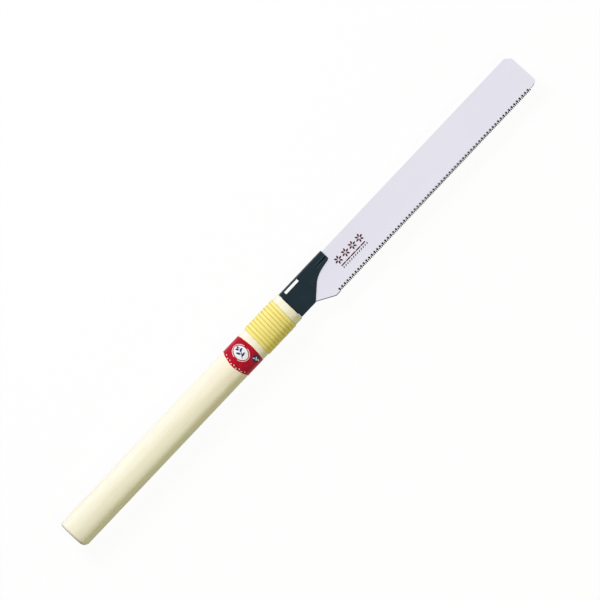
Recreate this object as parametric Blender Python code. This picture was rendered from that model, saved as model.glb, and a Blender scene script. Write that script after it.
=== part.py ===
"""Bamboo saw: a hooked pull-cut blade in a folded sheet holder, on a cane-bound oval wooden handle.

Saw frame: +X runs from the butt of the handle to the tip of the blade, +Y points to the spine and -Y to
the teeth, and Z is square to the blade. X is 0 at the butt, Y and Z are 0 on the handle's middle line.
The root empty lays the saw on its side, with the bottom centre of its box at the world origin.
"""
import math

import bmesh
import bpy
import numpy as np
from mathutils import Matrix, Vector

# Fit of pieces that touch
SEAT_GAP = 0.0003

# Handle: an oval bar with two flats, round at both sides
HANDLE_LENGTH = 0.2735
HANDLE_WIDTH = 0.0304
HANDLE_THICKNESS = 0.0226
BUTT_ROUND = 0.003
FRONT_ROUND = 0.0006
OVAL_ARC_STEPS = 12
ROUND_STEPS = 4

# Cane binding, wound in a shallow recess of the handle
BINDING_TO_FRONT = 0.0055
BINDING_TURNS = 10
STRIP_WIDTH = 0.003
STRIP_GAP = 0.00043
STRIP_THICKNESS = 0.001
STRIP_EDGE_HEIGHT = 0.0004
RECESS_DEPTH = 0.0008
RECESS_MARGIN = 0.0008

# Paper label: a band round the handle that swells to a shield over the upper flat
LABEL_TO_BINDING = 0.0066
LABEL_LENGTH = 0.0191
LABEL_THICKNESS = 0.0002
LABEL_GAP = 0.0002
SHIELD_REAR = 0.0038
SHIELD_FRONT = 0.0017
SHIELD_HALF_WIDTH = 0.0165

# Blade holder: one sheet folded over along the spine
SHEET = 0.001
HOLDER_LENGTH = 0.0527
HOLDER_SPINE = 0.014
HOLDER_BELLY = 0.0139
BELLY_FLAT = 0.0175
BELLY_CORNER_ROUND = 0.0015
NECK_START = (0.0294, -0.0038)
NECK_PULL = 0.0085
NOSE_PULL = 0.0095
NOSE_WIDTH = 0.0092
NOSE_CORNER_DROP = 0.0011
NOSE_CORNER_LENGTH = 0.0016
NOSE_SLOPE_DEG = 9.0
FOLD_STEPS = 8
LEG_LENGTH = 0.045
LEG_FRONT_WIDTH = 0.019
LEG_REAR_WIDTH = 0.014

# Window and pressed crease in the holder's walls
WINDOW_START = 0.0049
WINDOW_LENGTH = 0.0158
WINDOW_WIDTH = 0.0025
WINDOW_TO_SPINE = 0.0033
CREASE_LENGTH = 0.0135
CREASE_WIDTH = 0.0009
CREASE_DEPTH = 0.0004
CREASE_TO_SPINE = 0.0067

# Hook rivet, which the blade swings on
RIVET_TO_SPINE = 0.0085
RIVET_RADIUS = 0.002
RIVET_HEAD_FLARE = 0.0007
RIVET_HEAD_HEIGHT = 0.0007
ROUND_SIDES = 24

# Cross pins through the handle and the holder's legs
PIN_RADIUS = 0.0012
PIN_SIDES = 16
PIN_FRONT_TO_END = 0.0155
PIN_SPACING = 0.016
PIN_COVER = 0.004

# Blade
BLADE_THICKNESS = 0.0006
BLADE_WIDTH = 0.0357
TOOTH_COUNT = 142
TOOTH_PITCH = 0.00169
TOOTH_DEPTH = 0.0023
TOOTH_SET = 0.00018
TOOTH_TIP_AT = 0.30
TOOTH_FACET_AT = 0.75
TOOTH_FACET_DEPTH = 0.0018
TOOTH_BEVEL = 0.00022
TANG_TO_REAR = 0.001
TANG_TO_WINDOW = 0.0004
HEEL_START = 0.034
HEEL_FLAT = 0.0053
HEEL_SLOPE_DEG = 30.0
HEEL_OVERLAP = 0.002
TOE_LENGTH = 0.0085
TOE_STEP = 0.0013
TOE_RISE = 0.0029
TOE_ROUND = 0.0022
TIP_CHAMFER = 0.0047
CORNER_STEPS = 6
NOTCH_STEPS = 12

# Colours (linear RGB), roughness and metallic value of each finish
FINISHES = {
    "pale_wood": ((0.93, 0.84, 0.66), 0.55, 0.0),
    "yellow_cane": ((0.93, 0.72, 0.20), 0.40, 0.0),
    "red_paper": ((0.60, 0.02, 0.05), 0.45, 0.0),
    "black_coated_steel": ((0.022, 0.032, 0.040), 0.38, 0.3),
    "satin_steel": ((0.76, 0.75, 0.82), 0.32, 0.9),
    "plain_steel": ((0.55, 0.55, 0.56), 0.40, 1.0),
}

# Worked out from the sizes above
OVAL_CENTRE = (HANDLE_WIDTH - HANDLE_THICKNESS) / 2
OVAL_RADIUS = HANDLE_THICKNESS / 2
BINDING_PITCH = STRIP_WIDTH + STRIP_GAP
BINDING_LENGTH = BINDING_TURNS * BINDING_PITCH + STRIP_WIDTH
BINDING_END = HANDLE_LENGTH - BINDING_TO_FRONT
BINDING_START = BINDING_END - BINDING_LENGTH
LABEL_FRONT = BINDING_START - LABEL_TO_BINDING
LABEL_REAR = LABEL_FRONT - LABEL_LENGTH
PIN_TOP = OVAL_RADIUS - RECESS_DEPTH - PIN_COVER
HOLDER_REAR = HANDLE_LENGTH + SEAT_GAP
WALL_GAP = BLADE_THICKNESS + 2 * SEAT_GAP
WALL_MIDDLE = (WALL_GAP + SHEET) / 2
HOLDER_HALF = WALL_GAP / 2 + SHEET
FOLD_CENTRE_Y = HOLDER_SPINE - HOLDER_HALF
BLADE_SPINE = HOLDER_SPINE - SHEET - SEAT_GAP
TOOTH_LINE = BLADE_SPINE - BLADE_WIDTH
GULLET_LINE = TOOTH_LINE + TOOTH_DEPTH
TEETH_START = HOLDER_REAR + HEEL_START + HEEL_FLAT
TEETH_END = TEETH_START + TOOTH_COUNT * TOOTH_PITCH
BLADE_TIP = TEETH_END + TOE_LENGTH
HOOK_RADIUS = RIVET_TO_SPINE - SHEET - SEAT_GAP
PIVOT = Vector((HOLDER_REAR + TANG_TO_REAR + HOOK_RADIUS, HOLDER_SPINE - RIVET_TO_SPINE, 0.0))
RIVET_HEAD_RADIUS = RIVET_RADIUS + RIVET_HEAD_FLARE
TANG_TOP = HOLDER_SPINE - WINDOW_TO_SPINE - WINDOW_WIDTH / 2 - TANG_TO_WINDOW
HEEL_RUN_UNDER = BELLY_FLAT - HEEL_OVERLAP


def clear_scene():
    """Remove every object that the file opened with."""
    for old in list(bpy.data.objects):
        bpy.data.objects.remove(old, do_unlink=True)


def make_material(name):
    """One Principled material from its line in FINISHES."""
    colour, roughness, metallic = FINISHES[name]
    material = bpy.data.materials.new(name)
    material.use_nodes = True
    shader = material.node_tree.nodes["Principled BSDF"]
    shader.inputs["Base Color"].default_value = (*colour, 1.0)
    shader.inputs["Roughness"].default_value = roughness
    shader.inputs["Metallic"].default_value = metallic
    material.diffuse_color = (*colour, 1.0)
    return material


def add_object(name, shape, root, finish=None, origin=Vector((0.0, 0.0, 0.0))):
    """Turn a bmesh into an object under the root, with its own origin."""
    bmesh.ops.recalc_face_normals(shape, faces=shape.faces)
    mesh = bpy.data.meshes.new(name)
    shape.to_mesh(mesh)
    shape.free()
    mesh.transform(Matrix.Translation(-origin))
    piece = bpy.data.objects.new(name, mesh)
    bpy.context.scene.collection.objects.link(piece)
    piece.parent = root
    piece.location = origin
    if finish:
        mesh.materials.append(make_material(finish))
        mesh.shade_smooth()
        mesh.set_sharp_from_angle(angle=math.radians(35.0))
    return piece


def cut(piece, name, shape, root):
    """Take a shape out of a piece with a hidden cutter."""
    cutter = add_object(name, shape, root)
    cutter.hide_render = True
    cutter.display_type = "WIRE"
    modifier = piece.modifiers.new(name, "BOOLEAN")
    modifier.operation = "DIFFERENCE"
    modifier.solver = "EXACT"
    modifier.object = cutter


def loft(rings):
    """Closed solid through rings that have the same number of points."""
    shape = bmesh.new()
    loops = []
    for ring in rings:
        loops.append([shape.verts.new(point) for point in ring])
    count = len(rings[0])
    for low, high in zip(loops, loops[1:]):
        for j in range(count):
            k = (j + 1) % count
            shape.faces.new((low[j], low[k], high[k], high[j]))
    shape.faces.new(reversed(loops[0]))
    shape.faces.new(loops[-1])
    return shape


def plate(outline, low_z, high_z):
    """Flat outline carried from one height to another."""
    rings = [[(x, y, z) for x, y in outline] for z in (low_z, high_z)]
    return loft(rings)


def turned(centre, profile, sides):
    """Round solid about Z from a profile of (radius, height) pairs, bottom to top."""
    rings = []
    for radius, z in profile:
        angles = [2 * math.pi * i / sides for i in range(sides)]
        rings.append([(centre.x + radius * math.cos(a), centre.y + radius * math.sin(a), z) for a in angles])
    return loft(rings)


def slot_outline(low_x, high_x, middle_y, width):
    """Corners of a straight slot along X, anticlockwise."""
    low_y = middle_y - width / 2
    high_y = middle_y + width / 2
    return [(low_x, low_y), (high_x, low_y), (high_x, high_y), (low_x, high_y)]


def arc(centre_x, centre_y, radius, start, end, steps):
    """Points on an arc from one angle to another, both ends included."""
    angles = [start + (end - start) * i / steps for i in range(steps + 1)]
    return [(centre_x + radius * math.cos(a), centre_y + radius * math.sin(a)) for a in angles]


def round_corner(before, corner, after, radius, steps):
    """Arc that rounds a corner between two straight edges."""
    corner = Vector(corner)
    back = (Vector(before) - corner).normalized()
    ahead = (Vector(after) - corner).normalized()
    half_angle = back.angle(ahead) / 2
    middle = (back + ahead).normalized()
    centre = corner + middle * (radius / math.sin(half_angle))
    first = corner + back * (radius / math.tan(half_angle)) - centre
    last = corner + ahead * (radius / math.tan(half_angle)) - centre
    start = math.atan2(first.y, first.x)
    turn = first.angle_signed(last)
    return arc(centre.x, centre.y, radius, start, start - turn, steps)


def bezier(start, pull_start, pull_end, end, steps):
    """Points on a cubic curve, without its two end points."""
    points = []
    for i in range(1, steps):
        t = i / steps
        weights = ((1 - t) ** 3, 3 * t * (1 - t) ** 2, 3 * t * t * (1 - t), t ** 3)
        corners = (start, pull_start, pull_end, end)
        points.append(tuple(sum(w * c[axis] for w, c in zip(weights, corners)) for axis in (0, 1)))
    return points


def oval_stations():
    """Round the handle's section: the arc centre's Y and the outward direction at each station."""
    stations = []
    for side, first_angle in ((1, -math.pi / 2), (-1, math.pi / 2)):
        for i in range(OVAL_ARC_STEPS + 1):
            angle = first_angle + math.pi * i / OVAL_ARC_STEPS
            stations.append((side * OVAL_CENTRE, math.cos(angle), math.sin(angle)))
    return stations


def oval_point(station, x, lift):
    """Point over a station of the handle's section, at a height above the wood's surface."""
    centre_y, out_y, out_z = station
    reach = OVAL_RADIUS + lift
    return Vector((x, centre_y + reach * out_y, reach * out_z))


def rounded_end(end_x, inward, radius):
    """Sections (x, lift) of a rounded end, from the flat face to the full size."""
    sections = []
    for i in range(ROUND_STEPS + 1):
        angle = math.pi / 2 * i / ROUND_STEPS
        along = radius * (1 - math.cos(angle))
        sections.append((end_x + inward * along, -radius * (1 - math.sin(angle))))
    return sections


def build_handle(root):
    """Wooden handle with the recess of the binding, the slot for the holder's legs and the pin holes."""
    recess_rear = BINDING_START - RECESS_MARGIN
    recess_front = BINDING_END + RECESS_MARGIN
    sections = rounded_end(0.0, 1, BUTT_ROUND)
    sections += [(recess_rear - RECESS_DEPTH, 0.0), (recess_rear, -RECESS_DEPTH)]
    sections += [(recess_front, -RECESS_DEPTH), (recess_front + RECESS_DEPTH, 0.0)]
    sections += reversed(rounded_end(HANDLE_LENGTH, -1, FRONT_ROUND))
    stations = oval_stations()
    rings = [[oval_point(station, x, lift) for station in stations] for x, lift in sections]
    handle = add_object("handle", loft(rings), root, "pale_wood")

    slot_half = HOLDER_HALF + SEAT_GAP
    past_front = HANDLE_LENGTH + 2 * FRONT_ROUND
    slot = plate(leg_outline(past_front, SEAT_GAP), -slot_half, slot_half)
    cut(handle, "leg_slot_cutter", slot, root)
    for name, centre in pin_places():
        hole = turned(centre, pin_profile(-HANDLE_THICKNESS, SEAT_GAP), PIN_SIDES)
        cut(handle, name + "_hole_cutter", hole, root)


def leg_outline(front_x, clearance):
    """Tapered outline of one leg, from its front edge to its rear end, grown by a clearance."""
    front = LEG_FRONT_WIDTH / 2 + clearance
    rear = LEG_REAR_WIDTH / 2 + clearance
    rear_x = HOLDER_REAR - LEG_LENGTH - clearance
    return [(front_x, front), (HOLDER_REAR, front), (rear_x, rear), (rear_x, -rear),
            (HOLDER_REAR, -front), (front_x, -front)]


def pin_places():
    """Name and centre of each cross pin."""
    front_x = HANDLE_LENGTH - PIN_FRONT_TO_END
    return [("tang_pin_front", Vector((front_x, 0.0, 0.0))),
            ("tang_pin_rear", Vector((front_x - PIN_SPACING, 0.0, 0.0)))]


def pin_profile(low_z, clearance):
    """Pin driven in from the underside, or its blind hole, as (radius, height) pairs."""
    radius = PIN_RADIUS + clearance
    return [(radius, low_z), (radius, PIN_TOP + clearance)]


def build_pins(root):
    """Cross pins, driven in until they are just under the floor of the binding's recess."""
    low_z = SEAT_GAP + RECESS_DEPTH - OVAL_RADIUS
    for name, centre in pin_places():
        add_object(name, turned(centre, pin_profile(low_z, 0.0), PIN_SIDES), root, "plain_steel")


def strip_profile():
    """D-shaped section of the cane as (along, above) pairs: flat on its seat, crowned outside."""
    half = STRIP_WIDTH / 2
    inset = STRIP_EDGE_HEIGHT / 2
    rise = STRIP_THICKNESS - STRIP_EDGE_HEIGHT
    crown = [(half * math.cos(a), STRIP_EDGE_HEIGHT + rise * math.sin(a)) for a in np.linspace(0, math.pi, 5)]
    return [(-half + inset, 0.0), (half - inset, 0.0)] + crown


def build_binding(root):
    """One cane strip wound round the recess, its two ends straight on the lower flat."""
    stations = oval_stations()
    count = len(stations)
    seat = SEAT_GAP - RECESS_DEPTH
    around = [oval_point(station, 0.0, seat) for station in stations]
    steps = [(around[(j + 1) % count] - around[j]).length for j in range(count)]
    advance = [BINDING_PITCH * step / sum(steps) for step in steps]
    profile = strip_profile()
    x = BINDING_START + STRIP_WIDTH / 2
    rings = []
    for turn_step in range(BINDING_TURNS * count + 2):
        j = (turn_step - 1) % count
        rings.append([oval_point(stations[j], x + along, seat + above) for along, above in profile])
        x += advance[j]
    gap = least_gap(np.array(rings), count)
    print(f"cane_binding: least gap to itself {gap * 1000:.2f} mm")
    add_object("cane_binding", loft(rings), root, "yellow_cane")


def least_gap(rings, count):
    """Least distance between the points of one turn and those of the next."""
    least = math.inf
    for first in range(0, len(rings) - count):
        near = rings[first + count - 1:first + count + 2].reshape(-1, 3)
        gaps = np.linalg.norm(rings[first][:, None, :] - near[None, :, :], axis=2)
        least = min(least, gaps.min())
    return least


def build_label(root):
    """Paper band round the handle, swelling to the rear and to the front over the upper flat."""
    stations = oval_stations()
    top = len(stations) // 2
    ring = stations[:top] + [(0.0, 0.0, 1.0)] + stations[top:]
    surface = [oval_point(station, 0.0, LABEL_GAP) for station in ring]
    steps = [(b - a).length for a, b in zip(surface, surface[1:])]
    around = np.cumsum([0.0] + steps)
    swell = np.clip(1 - ((around - around[top]) / SHIELD_HALF_WIDTH) ** 2, 0.0, None)
    rows = []
    for lift in (LABEL_GAP, LABEL_GAP + LABEL_THICKNESS):
        for edge_x, reach in ((LABEL_REAR, -SHIELD_REAR), (LABEL_FRONT, SHIELD_FRONT)):
            rows.append([oval_point(place, edge_x + reach * w, lift) for place, w in zip(ring, swell)])
    add_object("paper_label", sheet_ring(*rows), root, "red_paper")


def sheet_ring(inner_rear, inner_front, outer_rear, outer_front):
    """Closed ring of sheet through four closed rows of points."""
    shape = bmesh.new()
    section = (inner_rear, inner_front, outer_front, outer_rear)
    rows = [[shape.verts.new(point) for point in row] for row in section]
    count = len(inner_rear)
    for row, other in zip(rows, rows[1:] + rows[:1]):
        for i in range(count):
            k = (i + 1) % count
            shape.faces.new((row[i], row[k], other[k], other[i]))
    return shape


def wall_outline():
    """One wall of the holder with its leg, anticlockwise from the rear end of the spine."""
    rear = HOLDER_REAR
    nose = HOLDER_REAR + HOLDER_LENGTH
    nose_y = HOLDER_SPINE - NOSE_WIDTH
    legs = leg_outline(HOLDER_REAR, 0.0)[1:5]
    corner = (rear + BELLY_FLAT, -HOLDER_BELLY)
    neck = (rear + NECK_START[0], NECK_START[1])
    lip = (nose - NOSE_CORNER_LENGTH, nose_y - NOSE_CORNER_DROP)
    climb = Vector((neck[0] - corner[0], neck[1] - corner[1])).normalized()
    slope = math.radians(NOSE_SLOPE_DEG)
    pull_neck = (neck[0] + NECK_PULL * climb.x, neck[1] + NECK_PULL * climb.y)
    pull_lip = (lip[0] - NOSE_PULL * math.cos(slope), lip[1] - NOSE_PULL * math.sin(slope))
    belly_rear = (rear, -HOLDER_BELLY)
    outline = [(rear, FOLD_CENTRE_Y)] + legs + [belly_rear]
    outline += round_corner(belly_rear, corner, neck, BELLY_CORNER_ROUND, CORNER_STEPS)
    outline += [neck] + bezier(neck, pull_neck, pull_lip, lip, 2 * CORNER_STEPS) + [lip]
    outline += [(nose, nose_y), (nose, FOLD_CENTRE_Y)]
    return outline


def folded_sheet():
    """Middle surface of the holder: two walls joined by a half-round fold along the spine."""
    shape = bmesh.new()
    outline = wall_outline()
    upper = [shape.verts.new((x, y, WALL_MIDDLE)) for x, y in outline]
    lower = [shape.verts.new((x, y, -WALL_MIDDLE)) for x, y in outline]
    shape.faces.new(upper)
    shape.faces.new(reversed(lower))
    rear_x, front_x = outline[0][0], outline[-1][0]
    rows = [(upper[0], upper[-1])]
    for i in range(1, FOLD_STEPS):
        angle = math.pi / 2 - math.pi * i / FOLD_STEPS
        y = FOLD_CENTRE_Y + WALL_MIDDLE * math.cos(angle)
        z = WALL_MIDDLE * math.sin(angle)
        rows.append((shape.verts.new((rear_x, y, z)), shape.verts.new((front_x, y, z))))
    rows.append((lower[0], lower[-1]))
    for (rear, front), (next_rear, next_front) in zip(rows, rows[1:]):
        shape.faces.new((rear, front, next_front, next_rear))
    return shape


def rivet_profile(clearance):
    """Countersunk rivet as (radius, height) pairs, grown by a clearance at its sides."""
    head = HOLDER_HALF - RIVET_HEAD_HEIGHT
    return [(RIVET_HEAD_RADIUS + clearance, -HOLDER_HALF), (RIVET_RADIUS + clearance, -head),
            (RIVET_RADIUS + clearance, head), (RIVET_HEAD_RADIUS + clearance, HOLDER_HALF)]


def build_holder(root):
    """Folded holder with its window, creases, rivet hole and pin holes."""
    holder = add_object("blade_holder", folded_sheet(), root, "black_coated_steel")
    thicken = holder.modifiers.new("sheet", "SOLIDIFY")
    thicken.thickness = SHEET
    thicken.offset = 0.0
    thicken.use_even_offset = True
    through = 2 * HOLDER_HALF

    window_x = HOLDER_REAR + WINDOW_START
    window = slot_outline(window_x, window_x + WINDOW_LENGTH, HOLDER_SPINE - WINDOW_TO_SPINE, WINDOW_WIDTH)
    cut(holder, "window_cutter", plate(window, -through, through), root)

    nose = HOLDER_REAR + HOLDER_LENGTH
    crease = slot_outline(nose - CREASE_LENGTH, nose + SHEET, HOLDER_SPINE - CREASE_TO_SPINE, CREASE_WIDTH)
    floor = HOLDER_HALF - CREASE_DEPTH
    cut(holder, "upper_crease_cutter", plate(crease, floor, through), root)
    cut(holder, "lower_crease_cutter", plate(crease, -through, -floor), root)

    grown = rivet_profile(SEAT_GAP)
    past_faces = [(grown[0][0], -through)] + grown + [(grown[-1][0], through)]
    cut(holder, "rivet_hole_cutter", turned(PIVOT, past_faces, ROUND_SIDES), root)
    for name, centre in pin_places():
        hole = turned(centre, pin_profile(-through, SEAT_GAP), PIN_SIDES)
        cut(holder, name + "_leg_cutter", hole, root)
    holder.modifiers.new("flat_walls", "WEIGHTED_NORMAL")


def build_rivet(root):
    """Flush rivet across the holder, under its window."""
    add_object("hook_rivet", turned(PIVOT, rivet_profile(0.0), ROUND_SIDES), root, "black_coated_steel")


def blade_outline():
    """Blade without its teeth, anticlockwise from the first gullet, and how many gullets come first.

    The top of the tang steps down to pass below the holder's window, which stays clear.
    """
    gullets = [(TEETH_START + i * TOOTH_PITCH, GULLET_LINE) for i in range(TOOTH_COUNT + 1)]

    toe_start = (TEETH_END + TOOTH_TIP_AT * TOOTH_PITCH, TOOTH_LINE + TOE_STEP)
    toe_corner = (BLADE_TIP, TOOTH_LINE + TOE_RISE)
    tip_top = (BLADE_TIP, BLADE_SPINE - TIP_CHAMFER)
    toe = [toe_start] + round_corner(toe_start, toe_corner, tip_top, TOE_ROUND, CORNER_STEPS)
    tip = [tip_top, (BLADE_TIP - TIP_CHAMFER, BLADE_SPINE)]

    notch = RIVET_RADIUS + SEAT_GAP
    notch_floor = arc(PIVOT.x, PIVOT.y, notch, 0.0, -math.pi, NOTCH_STEPS)
    horn_angle = math.pi - math.asin((TANG_TOP - PIVOT.y) / HOOK_RADIUS)
    under = Vector((HOLDER_REAR + HEEL_RUN_UNDER, heel_line(HEEL_RUN_UNDER))) - PIVOT.xy
    tangent_angle = math.atan2(under.y, under.x) - math.acos(HOOK_RADIUS / under.length) + 2 * math.pi
    step_x = HOLDER_REAR + WINDOW_START + WINDOW_LENGTH + TANG_TO_WINDOW
    hook = [(step_x + BLADE_SPINE - TANG_TOP, BLADE_SPINE), (step_x, TANG_TOP)]
    hook += [(PIVOT.x + notch, TANG_TOP)] + notch_floor + [(PIVOT.x - notch, TANG_TOP)]
    hook += arc(PIVOT.x, PIVOT.y, HOOK_RADIUS, horn_angle, tangent_angle, NOTCH_STEPS)

    heel_hidden = (PIVOT.x + under.x, PIVOT.y + under.y)
    heel = [heel_hidden, (HOLDER_REAR + HEEL_START, TOOTH_LINE), (TEETH_START, TOOTH_LINE)]
    return gullets + toe + tip + hook + heel, len(gullets)


def heel_line(from_rear):
    """Y on the slanting heel edge at a distance from the holder's rear end."""
    return TOOTH_LINE + (HEEL_START - from_rear) * math.tan(math.radians(HEEL_SLOPE_DEG))


def tooth_points(shape, start_x, set_side, face_side):
    """Tip and facet corner of one tooth on one face, bent to its set side and bevelled on the other face."""
    inset = 0.0 if face_side == set_side else TOOTH_BEVEL
    corners = ((TOOTH_TIP_AT * TOOTH_PITCH + inset, TOOTH_DEPTH - inset),
               (TOOTH_FACET_AT * TOOTH_PITCH - inset, TOOTH_FACET_DEPTH - inset))
    points = []
    for along, depth in corners:
        z = face_side * BLADE_THICKNESS / 2 + set_side * TOOTH_SET * depth / TOOTH_DEPTH
        points.append(shape.verts.new((start_x + along, GULLET_LINE - depth, z)))
    return points


def build_blade(root):
    """Toothed blade with a hooked tang; its origin is on the hook rivet's axis."""
    shape = bmesh.new()
    outline, gullet_count = blade_outline()
    half = BLADE_THICKNESS / 2
    upper = [shape.verts.new((x, y, half)) for x, y in outline]
    lower = [shape.verts.new((x, y, -half)) for x, y in outline]
    shape.faces.new(upper)
    shape.faces.new(reversed(lower))
    for i, (x, _) in enumerate(outline):
        k = (i + 1) % len(outline)
        upper_edge = [upper[i], upper[k]]
        lower_edge = [lower[i], lower[k]]
        if i + 1 < gullet_count:
            set_side = 1 if i % 2 else -1
            upper_edge[1:1] = tooth_points(shape, x, set_side, 1)
            lower_edge[1:1] = tooth_points(shape, x, set_side, -1)
            shape.faces.new(upper_edge)
            shape.faces.new(reversed(lower_edge))
        for a in range(len(upper_edge) - 1):
            shape.faces.new((upper_edge[a], lower_edge[a], lower_edge[a + 1], upper_edge[a + 1]))
    add_object("blade", shape, root, "satin_steel", origin=PIVOT)


def lay_on_origin(root):
    """Move the root so that the bottom centre of the whole saw's box is at the world origin."""
    bpy.context.view_layer.update()
    depsgraph = bpy.context.evaluated_depsgraph_get()
    corners = []
    for piece in root.children:
        if not piece.hide_render:
            evaluated = piece.evaluated_get(depsgraph)
            corners += [piece.matrix_world @ Vector(corner) for corner in evaluated.bound_box]
    low = np.min(corners, axis=0)
    high = np.max(corners, axis=0)
    root.location = (-(low[0] + high[0]) / 2, -(low[1] + high[1]) / 2, -low[2])
    bpy.context.view_layer.update()


def main():
    """Build every piece of the saw under one root."""
    clear_scene()
    root = bpy.data.objects.new("saw_root", None)
    bpy.context.scene.collection.objects.link(root)
    build_handle(root)
    build_pins(root)
    build_binding(root)
    build_label(root)
    build_holder(root)
    build_rivet(root)
    build_blade(root)
    lay_on_origin(root)


main()
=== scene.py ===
"""Bamboo saw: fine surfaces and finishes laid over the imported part, in the part's own frame.

The saw lies on its side: +X runs from the butt of the handle to the tip of the blade, +Y points to the spine
and -Y to the teeth, and +Z is up, square to the blade. Sizes are metres.
"""

import math

import bmesh
import bpy
import numpy as np
from bpy.props import FloatProperty, FloatVectorProperty, IntProperty, PointerProperty
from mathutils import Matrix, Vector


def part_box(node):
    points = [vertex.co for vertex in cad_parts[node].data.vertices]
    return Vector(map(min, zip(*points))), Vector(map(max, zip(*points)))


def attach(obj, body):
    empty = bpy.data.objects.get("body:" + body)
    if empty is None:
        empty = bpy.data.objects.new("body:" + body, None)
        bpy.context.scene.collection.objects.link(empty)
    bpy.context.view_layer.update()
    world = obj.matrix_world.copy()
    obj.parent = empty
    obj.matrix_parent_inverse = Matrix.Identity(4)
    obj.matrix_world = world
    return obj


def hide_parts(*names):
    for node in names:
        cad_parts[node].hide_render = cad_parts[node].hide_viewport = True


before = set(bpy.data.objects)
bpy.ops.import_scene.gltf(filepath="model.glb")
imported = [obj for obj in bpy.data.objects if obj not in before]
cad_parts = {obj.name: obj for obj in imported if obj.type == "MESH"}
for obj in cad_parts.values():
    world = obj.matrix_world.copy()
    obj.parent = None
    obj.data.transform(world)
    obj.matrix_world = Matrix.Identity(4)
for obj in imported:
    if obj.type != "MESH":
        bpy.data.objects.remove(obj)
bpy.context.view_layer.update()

bl_info = {
    "name": "Bamboo saw looks",
    "version": (1, 0, 0),
    "blender": (4, 5, 0),
    "location": "3D View > Sidebar > Saw",
    "description": "Builds the wood, cane, paper, coated sheet and toothed steel of a bamboo saw",
    "category": "Object",
}

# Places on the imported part

HANDLE_LOW, HANDLE_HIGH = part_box("handle")
BINDING_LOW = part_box("cane_binding")[0]
LABEL_LOW, LABEL_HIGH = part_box("paper_label")
HOLDER_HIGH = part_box("blade_holder")[1]
RIVET_LOW, RIVET_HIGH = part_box("hook_rivet")
BLADE_LOW, BLADE_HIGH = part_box("blade")
MIDDLE = (HANDLE_LOW + HANDLE_HIGH) / 2
HOLDER_GAP = 0.0003  # from the handle's front to the holder's rear
HOLDER_REAR = HANDLE_HIGH.x + HOLDER_GAP

# Fixed sizes and settings

WHITE = (1.0, 1.0, 1.0)
SAME_POINT = 1e-7
NO_LENGTH = 1e-8
CAD_SAME_POINT = 2e-6
CAD_FLAT = math.radians(0.2)
SHARP_EDGE = math.radians(40.0)
NOISE_LOW, NOISE_HIGH = 0.3, 0.7  # most of a noise lies between these

# Handle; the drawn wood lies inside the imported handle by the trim
WOOD_TRIM = 0.0004
HANDLE_COLUMNS = 144
BUTT_ROWS = 11
BODY_ROWS = 64
FRONT_ROWS = 6
BELLY_POWER = 3
RECESS_CLEAR = 0.002
# Rows of the recess's rounded lip: how far they lie from its wall and below the wood
LIP_OUT = np.array([0.00030, 0.00011, 0.00003, 0.0, 0.0])[:, None]
LIP_DOWN = np.array([0.0, 0.00003, 0.00010, 0.00025])
# Centre of the wood's rings, well outside the handle
PITH_Y = MIDDLE.y - 0.021
PITH_Z = MIDDLE.z - 0.062
RING_DRIFT = 0.0075

# Cane strip; waves are rows of a height, a rate and a phase
STEPS_A_TURN = 128
STRIP_COLUMNS = 13
STRIP_OVERRUN = 0.012  # share of a turn that the strip goes on at each end
STRIP_WANDER = (0.00003, 5.3, 0.0), (0.00002, 13.1, 1.0)
STRIP_SWELL = ((0.00001, 3.1, 0.5),)
FOOT_INSET = 0.0002
FOOT_ACROSS = 0.95, 0.05  # places of the strip's lower corners in its map
TAIL_START = 0.006
TAIL_GROWTH = 0.002
TAPER_START = 0.02  # in turns, as is the taper's length
TAPER_LENGTH = 0.03
TAPER_LEAST = 0.35

# Label
LABEL_ROWS = 280
LABEL_COLUMNS = 25
LAP_RISE = 1.1
LAP_RAMP = 0.002
BOW_POWER = 1.5
REAR_WANDER = ((0.00005, 1100.0, 0.0),)
FRONT_WANDER = ((0.00005, 900.0, 1.0),)
INK_SHARE = 0.8  # thickness of a layer of ink as a share of its step
INK_TIP = 0.02  # the sine that widens a stroke stays over this, so its tips are blunt

# Holder and rivet
# Reach of the crease's painted shade and of the painted highlight on its rims
CREASE_SPREAD = 0.00055  # how much wider each side of the crease is at the nose
CREASE_RUN_IN = 0.002
FOLD_HIGHLIGHT = 0.0016, 0.0004  # distances from the spine where the painted highlight along the fold starts and is full
RIVET_ROWS = 7
RIVET_COLUMNS = 48
RIVET_HUB = 0.06  # share of the head's radius where its dome starts
RIVET_SINK = 0.00006
RIVET_DOME = 0.00014
RIVET_SHANK = 0.00195
RIVET_HEAD_DEPTH = 0.0008

# Blade
TOE_CUTS = 9
TOOTH_POINT = 0.42  # place of a tooth's point in its pitch
PRINT_HEIGHTS = 0.000004, 0.000016

# Stage
FLOOR_REACH = 12.0
FLOOR_LOW = -0.0002
FLOOR_GLOW = 0.95  # share of plain white in the floor that is seen
LAMP_AWAY = 1.7
SENSOR_WIDTH = 36.0
CLIP_SHARE = 4.0  # the camera sees to this many times its distance


# Surfaces


def points(x, y, z):
    """Array of points from their X, Y and Z."""
    return np.stack(np.broadcast_arrays(x, y, z), axis=-1)


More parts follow.
